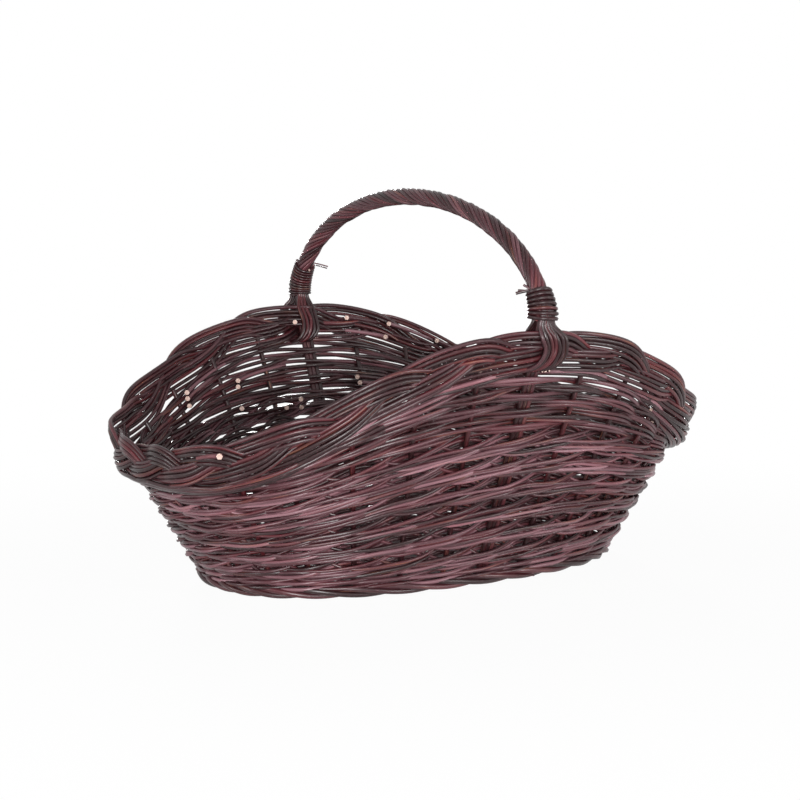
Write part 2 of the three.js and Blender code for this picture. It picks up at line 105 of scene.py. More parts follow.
willow = {
    "shades": [(0.12, srgb(30, 11, 13)), (0.5, srgb(65, 36, 41)), (0.95, srgb(124, 90, 97))],
    "red": srgb(98, 31, 38), "ochre": srgb(124, 80, 56), "speck": srgb(124, 90, 97),
    # noise: scale round the rod, scale along it, detail
    "patches": (0.5, 14.0, 2.0), "streaks": (5.0, 30.0, 3.0),
    "lenticels": (2.6, 260.0, 1.0), "blush": (0.3, 7.0, 1.0),
    "toneShare": 0.8, "patchShare": 0.58, "streakShare": 0.42, "darken": 0.475,
    "blushSpan": (0.5, 0.72), "bareSpan": (0.36, 0.44), "bareMost": 0.5,
    "speckSpan": (0.66, 0.74), "speckMost": 0.35,
    "roughness": (0.28, 0.44), "sheen": 0.34, "ridge": 0.0004, "ridgeStrength": 0.35, "ridgeSpecks": 0.5,
    # the outer tone and its inward fall paint shade: rods are drawn darker as they pass inward
    "outerTone": 0.54, "inwardShadeFall": 105, "toneScatter": 0.3,
}


# bark that runs along each rod: slow patches, fine streaks and small lenticels
def barkMaterial(name, shade, redness):
    material, shader, start = newMaterial(name)
    skin = start.node("Attribute", {"attribute_name": "skin"}, {}, "Vector")
    tone = start.node("Attribute", {"attribute_name": "tone"}, {}, "Fac")

    def skinNoise(around, along, detail):
        stretched = start.node("VectorMath", {"operation": "MULTIPLY"}, {0: skin, 1: (around, around, along)})
        return start.node("TexNoise", {}, {"Vector": stretched, "Scale": 1.0, "Detail": detail})

    def stain(colour, value, span, most, over):  # a colour laid over where the value passes the span
        limits = {"Value": value, "From Min": span[0], "From Max": span[1], "To Max": most}
        amount = start.node("MapRange", {}, limits)
        return start.node("Mix", {"data_type": "RGBA"}, {0: amount, 6: colour, 7: (*over, 1)}, 2)

    patches = skinNoise(*willow["patches"])
    streaks = skinNoise(*willow["streaks"])
    lenticels = skinNoise(*willow["lenticels"])
    blush = skinNoise(*willow["blush"])
    depth = tone * willow["toneShare"] + patches * willow["patchShare"] + streaks * willow["streakShare"]
    colour = start.node("ValToRGB", {"stops": willow["shades"]}, {"Fac": depth - (willow["darken"] - shade)})
    colour = stain(colour, blush, willow["blushSpan"], redness, willow["red"])
    colour = stain(colour, patches * streaks, willow["bareSpan"], willow["bareMost"], willow["ochre"])
    colour = stain(colour, lenticels, willow["speckSpan"], willow["speckMost"], willow["speck"])
    colour.feed(shader, "Base Color")
    low, high = willow["roughness"]
    (low + streaks * (high - low)).feed(shader, "Roughness")
    relief = start.node("Bump", {}, {"Strength": willow["ridgeStrength"], "Distance": willow["ridge"],
                                     "Height": streaks + lenticels * willow["ridgeSpecks"]})
    relief.feed(shader, "Normal")
    shader.inputs["Specular IOR Level"].default_value = willow["sheen"]
    return material


cutEnd = {"shades": [(0.3, srgb(144, 112, 98)), (0.5, srgb(176, 151, 141)), (0.75, srgb(198, 181, 173))],
          "grain": 900.0, "grainDetail": 2.0, "roughness": 0.85}


def pithMaterial():  # cut ends of rods
    material, shader, start = newMaterial("cutPith")
    place = start.node("TexCoord", {}, {}, "Object")
    grain = start.node("TexNoise", {}, {
        "Vector": place, "Scale": cutEnd["grain"], "Detail": cutEnd["grainDetail"]})
    start.node("ValToRGB", {"stops": cutEnd["shades"]}, {"Fac": grain}).feed(shader, "Base Color")
    shader.inputs["Roughness"].default_value = cutEnd["roughness"]
    return material


barks = {  # how much lighter than plain bark, and how red at most
    "willow_bark": barkMaterial("willowBark", 0.03, 0.3),
    "willow_dark": barkMaterial("willowDark", -0.06, 0.25),
    "willow_red": barkMaterial("willowRed", -0.27, 0.45),
}
pith = pithMaterial()
print("bark and pith made")


# the wall: a superellipse in plan that widens to a rim low at the ends and high at the sides
wall = {
    "rimLength": 0.616, "rimWidth": 0.434, "baseLength": 0.432, "baseWidth": 0.236,
    "endHeight": 0.156, "sideHeight": 0.256, "fullness": 2.38, "riseSharpness": 4.2,
    "places": 30, "floorLevel": 0.00925, "footHeight": 0.021,
    "packEnd": 0.002, "packSide": 0.053, "borderHeight": 0.046,
}
nearPlace, farPlace = 22, 7
nearAngle, farAngle = 1.5 * math.pi, 0.5 * math.pi


def blend(low, high, share):
    return low + (high - low) * share


def unitPlan(angle):
    c, s, n = np.cos(angle), np.sin(angle), wall["fullness"]
    scale = (np.abs(c) ** n + np.abs(s) ** n) ** (-1 / n)
    return scale * c, scale * s


def climb(angle):  # 0 at the ends, 1 at the middle of the raised sides
    return np.abs(unitPlan(angle)[1]) ** wall["riseSharpness"]


def rimTop(angle):
    return blend(wall["endHeight"], wall["sideHeight"], climb(angle))


def packTop(angle):
    return rimTop(angle) - wall["borderHeight"]


def waleTop(angle):
    return packTop(angle) - blend(wall["packEnd"], wall["packSide"], climb(angle))


def wallPoint(angle, height, reach):  # reach is outward from the wall's middle surface
    angle, height, reach = np.broadcast_arrays(angle, height, reach)
    x, y = unitPlan(angle)
    share = height / rimTop(angle)
    power = wall["fullness"] - 1
    nx = np.sign(x) * np.abs(x) ** power / (wall["baseLength"] + wall["rimLength"])
    ny = np.sign(y) * np.abs(y) ** power / (wall["baseWidth"] + wall["rimWidth"])
    size = np.hypot(nx, ny)
    px = x * blend(wall["baseLength"], wall["rimLength"], share) / 2 + nx / size * reach
    py = y * blend(wall["baseWidth"], wall["rimWidth"], share) / 2 + ny / size * reach
    return np.stack([px, py, height], axis=-1)


def placeAngle(place):
    return (np.asarray(place, float) + 0.5) / wall["places"] * fullTurn


# slow wander of a rod, the same at both ends of a round
def drift(count, size, waves=(2, 3, 5, 7, 11), spread=0.5, phases=6.3):
    turn = np.linspace(0, fullTurn, count, endpoint=False)
    return size * sum(
        dice.normal(0, spread) * np.sin(wave * turn + dice.uniform(0, phases)) for wave in waves)


def throughKnots(knots, steps):  # a smooth path that passes through each knot
    knots = np.asarray(knots, float)
    padded = np.vstack([2 * knots[0] - knots[1], knots, 2 * knots[-1] - knots[-2]])
    share = np.linspace(0, 1, steps, endpoint=False)[:, None]
    runs = []
    for a, b, c, d in zip(padded, padded[1:], padded[2:], padded[3:]):
        bend = (2 * a - 5 * b + 4 * c - d) * share**2 + (3 * b - a - 3 * c + d) * share**3
        runs.append(0.5 * (2 * b + (c - a) * share + bend))
    return np.vstack(runs + [knots[-1:]])


def lengthAlong(points):
    return np.concatenate([[0], np.cumsum(np.linalg.norm(np.diff(points, axis=0), axis=1))])


def rod(points, radii, isRing=False, tone=0.5):  # a rod with a shade of its own
    return points, radii, np.clip(tone + dice.normal(0, willow["toneScatter"]), 0, 1), isRing


def toneWithPaintedShade(reach):  # painted shade: rods are drawn darker the further inward they pass, as if in shadow inside the basket
    return willow["outerTone"] + willow["inwardShadeFall"] * np.minimum(reach, 0)


# one piece from many rods: bevelled curves made into a mesh, with bark coordinates and cut ends
def makeRods(name, rods, slotName, nodes, sides=6, bevel=0.001, barkRun=40):
    data = bpy.data.curves.new(name, "CURVE")
    data.dimensions = "3D"
    data.bevel_depth = bevel
    data.bevel_resolution = sides // 2 - 2
    skins, tones = [], []
    around = np.arange(sides) / sides * fullTurn
    for points, radii, tone, isRing in rods:
        count = len(points)
        spline = data.splines.new("POLY")
        spline.points.add(count - 1)
        spline.points.foreach_set("co", np.column_stack([points, np.ones(count)]).ravel())
        spline.points.foreach_set("radius", np.broadcast_to(radii, count) / bevel)
        spline.use_cyclic_u = isRing
        along = np.repeat(lengthAlong(points) + dice.uniform(0, barkRun), sides)
        skins.append(np.column_stack([np.tile(np.cos(around), count), np.tile(np.sin(around), count), along]))
        tones.append(np.repeat(np.broadcast_to(tone, count), sides))
    curve = bpy.data.objects.new(name + "Curve", data)
    scene.collection.objects.link(curve)
    mesh = bpy.data.meshes.new_from_object(curve.evaluated_get(bpy.context.evaluated_depsgraph_get()))
    bpy.data.objects.remove(curve)
    mesh.name = name
    mesh.attributes.new("skin", "FLOAT_VECTOR", "POINT").data.foreach_set("vector", np.vstack(skins).ravel())
    mesh.attributes.new("tone", "FLOAT", "POINT").data.foreach_set("value", np.concatenate(tones))
    mesh.materials.clear()
    mesh.materials.append(barks[slotName])
    mesh.materials.append(pith)
    shape = bmesh.new()
    shape.from_mesh(mesh)
    bmesh.ops.holes_fill(shape, edges=[edge for edge in shape.edges if edge.is_boundary], sides=sides)
    for face in shape.faces:
        isCut = len(face.verts) > 4
        face.smooth = not isCut
        face.material_index = int(isCut)
        for edge in face.edges if isCut else ():
            edge.smooth = False
    bmesh.ops.recalc_face_normals(shape, faces=shape.faces)
    shape.to_mesh(mesh)
    shape.free()
    piece = bpy.data.objects.new(name, mesh)
    scene.collection.objects.link(piece)
    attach(piece, "root")
    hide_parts(*nodes)


# stakes: a toe in the floor, then straight up into the border
stakes = {
    "radius": 0.0031, "tip": 0.0026, "toe": 0.031, "toeBend": 0.018, "bend": 0.006, "lowKnot": 0.03,
    # the low tone is painted shade: the stakes are drawn dark as if shadowed behind the weave
    "middleShare": 0.55, "tuck": 0.014, "tone": -0.2,
}
stakePlaces = [place for place in range(wall["places"]) if place not in (nearPlace, farPlace)]
for number, place in enumerate(stakePlaces, 1):
    angle = placeAngle(place)
    heel = wallPoint(angle, wall["floorLevel"], 0)
    top = wallPoint(angle, packTop(angle) + stakes["tuck"], 0)
    up = (top - heel) / np.linalg.norm(top - heel)
    outward = np.array([up[0], up[1], 0]) / math.hypot(up[0], up[1])
    knots = [heel - outward * inset for inset in (stakes["toe"], stakes["toeBend"], stakes["bend"])]
    knots += [heel + up * rise for rise in (stakes["bend"], stakes["lowKnot"])]
    points = throughKnots(knots + [blend(heel, top, stakes["middleShare"]), top], 5)
    radii = np.linspace(stakes["radius"], stakes["tip"], len(points))
    stake = rod(points, radii, tone=stakes["tone"])
    makeRods(f"stake_{number:02d}_rod", [stake], "willow_bark", [f"stake_{number:02d}"], sides=8)
print("stakes set up:", len(stakePlaces))


# waling: each weaver passes in front of two stakes and behind the third, climbing on its outer stroke
wale = {
    "rounds": 6, "weavers": 3, "rods": 4, "endRods": 3, "radius": 0.0018, "spacing": 0.0030,
    "pitchShare": 0.2, "stepsPerPlace": 9, "fullClimb": 0.12, "joins": (0.2, 0.7),
    "tuck": 0.009, "tuckRun": 0.5,
    # along one repeat, in places: height in pitches, reach, spacing and how far every other rod stands proud
    "rise": [(0, 0.37), (0.3, 0.32), (0.7, -0.26), (1, -0.27),
             (2, -0.09), (2.5, 0.16), (2.8, 0.37), (3, 0.37)],
    "reach": [(0, -0.0059), (1, 0.0056), (2, 0.0078), (3, -0.0059)],
    "squeeze": [(0, 1.8), (0.3, 1.45), (0.8, 1), (2, 1), (2.55, 0.85), (2.85, 1.45), (3, 1.8)],
    "nest": [(0, -1), (0.5, 0), (0.8, 1), (2.3, 1), (2.75, 0), (3, -1)],
    "riseSoft": 0.16, "reachSoft": 0.15, "bundleSoft": 0.1,
    "heightWander": 0.0009, "reachWander": 0.0006, "thickWander": 0.12,
    "fillReach": -0.0045, "fillRadius": 0.0016, "fillWander": 0.0012, "fillTone": 0.1,
}


def strokeTable(knots, softness, steps=80):  # one repeat of a stroke, rounded at its bends
    repeat = wale["weavers"]
    along = np.arange(repeat * steps) / steps
    wave = np.fft.rfft(np.interp(along, *zip(*knots)))
    wave *= np.exp(-0.5 * (fullTurn * np.arange(len(wave)) / repeat * softness) ** 2)
    smooth = np.fft.irfft(wave, len(along))
    return lambda at: np.interp(np.mod(at, repeat), np.append(along, repeat), np.append(smooth, smooth[0]))


riseAt = strokeTable(wale["rise"], wale["riseSoft"])
reachAt = strokeTable(wale["reach"], wale["reachSoft"])
squeezeAt = strokeTable(wale["squeeze"], wale["bundleSoft"])
nestAt = strokeTable(wale["nest"], wale["bundleSoft"])
roundSteps = wall["places"] * wale["stepsPerPlace"]
wholeRound = np.arange(roundSteps) / wale["stepsPerPlace"]
roundAngles = placeAngle(wholeRound)
farHalf = wholeRound < wall["places"] / 2

# how many rods a bundle has round the wall: three at the ends, more where the sides rise
bundleSize = blend(wale["endRods"], wale["rods"], np.clip(climb(roundAngles) / wale["fullClimb"], 0, 1))


def waleRods(middle, pitch, rodCount, radius, spacing, shift):
    rods = []
    size = np.minimum(bundleSize, rodCount)
    for weaver in range(wale["weavers"]):
        stroke = wholeRound - weaver - shift
        for member in range(rodCount):
            step = np.minimum(spacing, wale["pitchShare"] * pitch) * squeezeAt(stroke)
            lift = (member - (size - 1) / 2) * step
            wander = drift(roundSteps, wale["heightWander"], (3, 7, 11, 17, 23))
            height = middle + riseAt(stroke) * pitch + lift + wander
            proud = nestAt(stroke) * np.sqrt(np.maximum(4 * radius**2 - step**2, 0)) if member % 2 else 0
            reach = reachAt(stroke) + drift(roundSteps, wale["reachWander"], (3, 8, 13, 19)) + proud
            radii = radius * (1 + drift(roundSteps, wale["thickWander"], (1, 2, 3)))
            # painted shade: every rod below is drawn darker where it passes inward
            if member < wale["endRods"]:
                rods.append(rod(wallPoint(roundAngles, height, reach), radii, True, toneWithPaintedShade(reach)))
                continue
            for side in (farHalf, ~farHalf):  # a rod laid in for the raised side, its ends tucked in
                run = np.flatnonzero(side & (size > member + dice.uniform(*wale["joins"])))
                toEnd = np.minimum(run - run[0], run[-1] - run) / wale["stepsPerPlace"]
                tucked = reach[run] - wale["tuck"] * np.exp(-((toEnd / wale["tuckRun"]) ** 2))
                points = wallPoint(roundAngles[run], height[run], tucked)
                rods.append(rod(points, radii[run], False, toneWithPaintedShade(tucked)))
    return rods


# butt ends of weavers that show pale on the inside: round or row, place, height, way the rod comes from
butts = [
    ("packing_far_3", 7.16, 0.2373, 1), ("packing_far_3", 6.29, 0.2398, -1),
    ("packing_far_3", 5.45, 0.2322, -1), ("packing_far_3", 5.35, 0.2148, 1),
    ("packing_far_2", 4.52, 0.2124, -1), ("packing_far_1", 6.26, 0.1760, -1),
    ("packing_far_1", 6.22, 0.1697, -1), ("packing_far_1", 7.40, 0.1565, 1),
    ("packing_far_1", 8.83, 0.1787, -1), ("packing_far_1", 8.87, 0.1724, -1),
    ("packing_far_1", 9.97, 0.1704, -1), ("packing_far_1", 10.01, 0.1646, -1),
    ("wale_round_6", 10.04, 0.1573, -1), ("wale_round_6", 8.94, 0.1504, -1),
    ("wale_round_6", 7.76, 0.1493, 1), ("wale_round_6", 7.63, 0.1477, -1),
]
buttShape = {
    "path": [(1.3, 0.004), (0.8, -0.003), (0.35, -0.0075), (0.1, -0.0105)],  # places before the end, reach
    "turn": np.array([-0.0045, -0.0065, 0.0005]), "radius": (0.0017, 0.0027),
}


def turnedEnd(knots, radius, tone=0.5):  # a rod that thickens to a cut end turned to the viewer
    points = throughKnots(knots + [knots[-1] + buttShape["turn"]], 5)
    return rod(points, np.linspace(*radius, len(points)), tone=tone)


def buttEnds(owner):
    ends = []
    for node, place, height, way in butts:
        if node != owner:
            continue
        knots = []
        for before, reach in buttShape["path"]:
            angle = placeAngle(place + way * before)
            knots.append(wallPoint(angle, height * rimTop(angle) / rimTop(placeAngle(place)), reach))
        ends.append(turnedEnd(knots, buttShape["radius"]))
    return ends


walePitch = (waleTop(roundAngles) - wall["footHeight"]) / wale["rounds"]
for number in range(wale["rounds"]):
    node = f"wale_round_{number + 1}"
    middle = wall["footHeight"] + (number + 0.5) * walePitch
    rods = waleRods(middle, walePitch, wale["rods"], wale["radius"], wale["spacing"], number)
    # a thin rod behind the stakes that fills the slit above the round
    height = middle + walePitch / 2 + drift(roundSteps, wale["fillWander"], (3, 5, 9, 14))
    reach = wale["fillReach"] + drift(roundSteps, wale["reachWander"])
    rods.append(rod(wallPoint(roundAngles, height, reach), wale["fillRadius"], True, wale["fillTone"]))
    makeRods(node + "_rods", rods + buttEnds(node), "willow_bark", [node])
print("waling woven")


# foot: a thick rope that stands on the ground, with two tight rounds of waling on it and one loose twig
foot = {
    "strands": 3, "ropeRadius": 0.0029, "ropeTwist": 0.0033, "ropeHeight": 0.0061, "ropeReach": 0.0060,
    "ropeRepeats": 10, "tightRounds": [0.0115, 0.0178], "tightPitch": 0.0085, "tightRadius": 0.0021,
    "twig": [(0.030, -0.1250, 0.0075), (0.040, -0.1295, 0.0050), (0.058, -0.1325, 0.0032)],
    "twigRadius": 0.0008, "twigTone": 0.1,
}
footRods = []
for strand in range(foot["strands"]):
    turn = -foot["ropeRepeats"] * roundAngles + strand * fullTurn / foot["strands"]
    height = foot["ropeHeight"] + foot["ropeTwist"] * np.sin(turn)
    reach = foot["ropeReach"] + foot["ropeTwist"] * np.cos(turn)
    footRods.append(rod(wallPoint(roundAngles, height, reach), foot["ropeRadius"], True))
for number, height in enumerate(foot["tightRounds"], 1):
    footRods += waleRods(np.full(roundSteps, height), foot["tightPitch"], 1, foot["tightRadius"], 0, number)
footRods.append(rod(throughKnots(foot["twig"], 5), foot["twigRadius"], tone=foot["twigTone"]))
makeRods("foot_wale_rods", footRods, "willow_dark", ["foot_wale"])
print("foot laid")


# packing: pairs of thin rods in plain weave, fanned under the border of each raised side
packing = {
    "rods": 2, "radius": 0.0022, "taper": (1.12, 0.88), "spacing": 0.0037, "bandShare": 14, "reach": 0.0046,
    "overlap": 0.008, "wander": 0.0013, "reachWander": 0.0004, "tuck": 0.007, "tuckRun": 0.6, "tone": -0.1,
    "spread": [6.5, 6.3, 6.1, 6.0, 6.1, 6.3, 6.5, 6.7], "endScatter": 0.3, "stepsPerPlace": 18,
    "owner": [1, 1, 1, 2, 2, 3, 3, 3],
}
packRows = len(packing["spread"])
for side, middlePlace in (("near", nearPlace), ("far", farPlace)):
    rowRods = {owner: [] for owner in packing["owner"]}
    for row, spread in enumerate(packing["spread"]):
        for member in range(packing["rods"]):
            scatter = dice.uniform(-packing["endScatter"], packing["endScatter"], 2)
            ends = middlePlace + np.array([-1, 1]) * (spread + scatter)
            places = np.linspace(*ends, int(spread * packing["stepsPerPlace"]))
            angles = placeAngle(places)
            band = packTop(angles) + packing["overlap"] - waleTop(angles)
            height = waleTop(angles) + band * (row + 0.5) / packRows
            height += (member - 0.5) * np.minimum(packing["spacing"], band / packing["bandShare"])
            height += drift(len(places), packing["wander"], (1, 2, 3, 5, 8))
            reach = packing["reach"] * np.cos(math.pi * (places + row))
            reach += drift(len(places), packing["reachWander"])
            toEnd = np.minimum(places - ends[0], ends[1] - places)
            reach -= packing["tuck"] * np.exp(-((toEnd / packing["tuckRun"]) ** 2))
            radii = packing["radius"] * np.linspace(*packing["taper"], len(places))
            # painted shade: the rod is drawn darker where it passes inward
            packed = rod(wallPoint(angles, height, reach), radii, tone=toneWithPaintedShade(reach) + packing["tone"])
            rowRods[packing["owner"][row]].append(packed)
    for owner, rods in rowRods.items():
        node = f"packing_{side}_{owner}"
        makeRods(node + "_rods", rods + buttEnds(node), "willow_bark", [node])
print("packing woven")


# border: three bundles plaited along the rim, leaning in at the top
border = {  # height and lean are for the ends and for the sides
    "strands": 3, "repeats": 7, "start": 0.75 * math.pi, "height": (0.046, 0.042), "depth": 0.0036,
    "flat": 1.7, "lean": (33, 10), "leanFade": 0.3, "leanLift": 4, "flare": 0.011, "uprightRun": 0.034,
    "rods": 5, "radius": 0.00218, "spacing": 0.0046, "hollow": 0.22, "stepsPerRepeat": 48,
    "upWander": 0.0006, "outWander": 0.0004, "thickWander": 0.1,
    "bowRoom": 0.0075, "bowWidth": 0.014, "bowHeight": 0.2,
}
underBorder = {
    "rods": 7, "arc": 50, "arcScatter": (0.85, 1.1), "steps": 60, "lift": 0.003, "drop": 0.024,
    "wander": 0.0005, "inset": 0.001, "tuck": 0.008, "tuckPower": 8,
}
stub = {  # degrees round the wall, height and reach
    "path": [(203.0, 0.1440, 0.0105), (206.5, 0.1475, 0.0140), (209.5, 0.1490, 0.0165)],
    "radius": (0.0020, 0.0030), "tone": 0.9,
}
borderSteps = border["repeats"] * border["stepsPerRepeat"]
borderAngles = np.arange(borderSteps) / borderSteps * fullTurn
borderClimb = climb(borderAngles)
borderHeight = blend(*border["height"], borderClimb)
borderSwing = (borderHeight - border["rods"] * border["spacing"]) / 2
borderMiddle = rimTop(borderAngles) - borderHeight / 2
borderFlare = border["flare"] * (1 - borderClimb)
borderFade = borderClimb ** border["leanFade"]


def borderGap(bowAngle, height):  # how far the rim is from one leg of the bow
    return np.linalg.norm(wallPoint(borderAngles, height, 0) - wallPoint(bowAngle, height, 0), axis=1)


def plaitPhase(angle, strand):
    return border["repeats"] * angle + border["start"] + strand * fullTurn / border["strands"]


toBow = np.minimum(borderGap(nearAngle, borderMiddle), borderGap(farAngle, borderMiddle))
upright = np.exp(-((toBow / border["uprightRun"]) ** 2))
borderLean = np.radians(blend(*border["lean"], borderFade)) * (1 - upright)
leanRise = borderHeight / 2 * (1 - np.cos(borderLean)) * np.minimum(border["leanLift"] * borderFade - 1, 1)


def plaitRod(strand, member):
    phase = plaitPhase(borderAngles, strand)
    across = (member - (border["rods"] - 1) / 2) * border["spacing"]
    swing = np.tanh(border["flat"] * np.sin(phase)) / math.tanh(border["flat"])
    up = borderSwing * swing + across + drift(borderSteps, border["upWander"], (4, 9, 14))
    out = -border["depth"] * np.sin(2 * phase) - abs(across) * border["hollow"]
    out = out + drift(borderSteps, border["outWander"], (3, 10))
    for bowAngle in (nearAngle, farAngle):  # room for the bow between the strands
        crossing = -math.sin(2 * plaitPhase(bowAngle, strand))
        closeness = np.exp(-((borderGap(bowAngle, border["bowHeight"]) / border["bowWidth"]) ** 2))
        out = out + np.sign(crossing) * border["bowRoom"] * closeness
    height = borderMiddle + leanRise + up * np.cos(borderLean) + out * np.sin(borderLean)
    reach = out * np.cos(borderLean) - up * np.sin(borderLean) + borderFlare
    radii = border["radius"] * (1 + drift(borderSteps, border["thickWander"], (1, 2, 3)))
    return rod(wallPoint(borderAngles, height, reach), radii, True)


def underRod(member, end):  # wraps round one end below the plait and closes it to the wall
    share = member / (underBorder["rods"] - 1)
    steps = underBorder["steps"]
    arc = math.radians(underBorder["arc"] * dice.uniform(*underBorder["arcScatter"]))
    angles = end + np.linspace(-arc, arc, steps)
    tilt, low, flare = (np.interp(np.mod(angles, fullTurn), borderAngles, row, period=fullTurn)
                        for row in (borderLean, borderMiddle - borderHeight / 2, borderFlare))
    plaitFoot = wall["borderHeight"] / 2 * np.sin(tilt) + flare
    height = low + underBorder["lift"] - underBorder["drop"] * (1 - share) * share
    height = height + drift(steps, underBorder["wander"])
    tuck = underBorder["tuck"] * np.abs(np.linspace(-1, 1, steps)) ** underBorder["tuckPower"]
    reach = blend(-underBorder["inset"], plaitFoot, share) - tuck
    return rod(wallPoint(angles, height, reach), border["radius"])


for strand in range(border["strands"]):
    rods = [plaitRod(strand, member) for member in range(border["rods"])]
    for member in range(strand, underBorder["rods"], border["strands"]):
        rods += [underRod(member, end) for end in (0, math.pi)]
    if strand == 0:  # a broken rod that shows pale near one end
        knots = [wallPoint(math.radians(angle), height, reach) for angle, height, reach in stub["path"]]
        rods.append(turnedEnd(knots, stub["radius"], stub["tone"]))
    makeRods(f"border_strand_{strand + 1}_rods", rods, "willow_red", [f"border_strand_{strand + 1}"])
print("border plaited")


# handle: a bow that stands in the wall on both sides, under a roping of twisted rods
handle = {
    "crown": 0.3762, "outset": 0.002, "lift": 0.002, "legFoot": 0.004, "legDrop": 0.022, "archFrom": 4,
    "legSteps": 40, "archSteps": 90, "stations": 700, "soften": 31,
    "footRadius": 0.0078, "crownRadius": 0.0064, "thinning": 1.5,
    "coreFrom": 0.24, "coreInset": 0.0008, "coreSteps": 90,
    "legRods": 3, "legRadius": 0.0026, "legSpacing": 0.0047, "legTop": 0.25,
    # the legs' low tone is painted shade: they are drawn dark as if shadowed inside the wall
    "legRodSteps": 24, "legShadeTone": 0.1,
    "ropeRods": 12, "rodsPerBundle": 3, "ropeRadius": 0.0019, "turns": 4.75, "ropeFrom": 0.265,
    "ropeSteps": 260, "ropeWander": 0.0003, "twistWander": 0.03, "ropeTone": 0.8,
}
archFoot = wall["sideHeight"] + handle["lift"]
legHeights = np.linspace(handle["legFoot"], wall["sideHeight"] - handle["legDrop"], handle["legSteps"])
leg = wallPoint(nearAngle, legHeights, 0)
arc = np.radians(np.linspace(handle["archFrom"], 90, handle["archSteps"]))
arch = np.stack([0 * arc, -(wall["rimWidth"] / 2 + handle["outset"]) * np.cos(arc),
                 archFoot + (handle["crown"] - archFoot) * np.sin(arc)], axis=-1)
halfBow = np.vstack([leg, arch])
bow = np.vstack([halfBow, (halfBow * [1, -1, 1])[-2::-1]])
bow[:, 0] = 0
bowAlong = lengthAlong(bow)
bowLength = bowAlong[-1]
evenAlong = np.linspace(0, bowLength, handle["stations"])
bow = np.stack([np.interp(evenAlong, bowAlong, bow[:, axis]) for axis in range(3)], axis=-1)
softener = np.hanning(handle["soften"]) / np.hanning(handle["soften"]).sum()
softEdge = handle["soften"] // 2
for axis in (1, 2):
    bow[softEdge:-softEdge, axis] = np.convolve(bow[:, axis], softener, "valid")
bowTangent = np.gradient(bow, axis=0)
bowTangent /= np.linalg.norm(bowTangent, axis=1)[:, None]
bowOut = np.stack([0 * bow[:, 0], -bowTangent[:, 2], bowTangent[:, 1]], axis=-1)


def bowPoint(along, angle, radius):  # along the bow, round it from its outer face, out from its middle line
    along, angle, radius = np.broadcast_arrays(along, angle, radius)
    centre = np.stack([np.interp(along, evenAlong, bow[:, axis]) for axis in range(3)], axis=-1)
    out = np.stack([np.interp(along, evenAlong, bowOut[:, axis]) for axis in range(3)], axis=-1)
    point = centre + out * (radius * np.cos(angle))[..., None]
    point[..., 0] += radius * np.sin(angle)
    return point


def bowAlongAt(height):
    rising = evenAlong < bowLength / 2
    return float(np.interp(height, bow[rising, 2], evenAlong[rising]))


def ropeDistance(along):  # rod centres from the bow's middle line: thinner toward the crown
    share = np.abs(along / bowLength * 2 - 1)
    return blend(handle["crownRadius"], handle["footRadius"], share ** handle["thinning"])


coreFrom = bowAlongAt(handle["coreFrom"])
coreAlong = np.linspace(coreFrom, bowLength - coreFrom, handle["coreSteps"])
bowRods = [rod(bowPoint(coreAlong, 0, 0), ropeDistance(coreAlong) - handle["coreInset"])]
legAlong = np.linspace(0, bowAlongAt(handle["legTop"]), handle["legRodSteps"])
for along in (legAlong, bowLength - legAlong):
    for member in range(handle["legRods"]):
        points = bowPoint(along, 0, 0)
        points[:, 0] += (member - (handle["legRods"] - 1) / 2) * handle["legSpacing"]
        bowRods.append(rod(points, handle["legRadius"], tone=handle["legShadeTone"]))
makeRods("handle_bow_rods", bowRods, "willow_dark", ["handle_bow"], sides=8)

# each bundle is three of the rods, and its feet fan over both faces of the border and tuck in below it
fan = {
    "outer": 7, "spacing": 0.0043, "radius": 0.0020, "reachScatter": 0.0004, "sideScatter": 0.0005,
    "upper": [(0.014, 0.35), (0.006, 0.5), (-0.004, 0.7)],  # length past the rope's foot, share opened
    "narrowing": 0.8,
    # height, reach and shift to the side
    "outerPath": [(0.249, 0.0122, 0.005), (0.239, 0.0146, 0.009), (0.230, 0.0148, 0.009),
                  (0.222, 0.0115, 0.005), (0.218, 0.0050, 0.000), (0.217, 0.0005, -0.002)],
    "innerPath": [(0.252, -0.0125, 0.000), (0.240, -0.0150, 0.000), (0.229, -0.0150, 0.002),
                  (0.220, -0.0110, 0.006), (0.216, -0.0040, 0.010), (0.216, 0.0000, 0.012)],
}
ropeFrom = bowAlongAt(handle["ropeFrom"])
ropeAlong = np.linspace(ropeFrom, bowLength - ropeFrom, handle["ropeSteps"])


def ropeRod(member):
    share = (ropeAlong - ropeFrom) / (bowLength - 2 * ropeFrom)
    wound = (member / handle["ropeRods"] + share * handle["turns"]) * fullTurn
    distance = ropeDistance(ropeAlong) + drift(len(ropeAlong), handle["ropeWander"])
    points = bowPoint(ropeAlong, wound + drift(len(ropeAlong), handle["twistWander"]), distance)
    return rod(points, handle["ropeRadius"], tone=handle["ropeTone"])


def fanRod(member, isNear):
    isOuter = member < fan["outer"]
    members = fan["outer"] if isOuter else handle["ropeRods"] - fan["outer"]
    rank = (member if isOuter else member - fan["outer"]) - (members - 1) / 2
    spread = rank * fan["spacing"]
    out = handle["footRadius"] * (1 if isOuter else -1)
    knots = []
    for past, opened in fan["upper"]:
        along = ropeFrom + past if isNear else bowLength - ropeFrom - past
        turn = math.atan2(spread * opened, out)
        knots.append(bowPoint(along, turn, math.hypot(spread * opened * fan["narrowing"], out)))
    for height, reach, shift in fan["outerPath"] if isOuter else fan["innerPath"]:
        reach += dice.normal(0, fan["reachScatter"])
        point = wallPoint(nearAngle if isNear else farAngle, height, reach)
        point[0] += spread + shift * (1 if isNear else -1) + dice.normal(0, fan["sideScatter"])
        knots.append(point)
    return rod(throughKnots(knots, 6), fan["radius"])


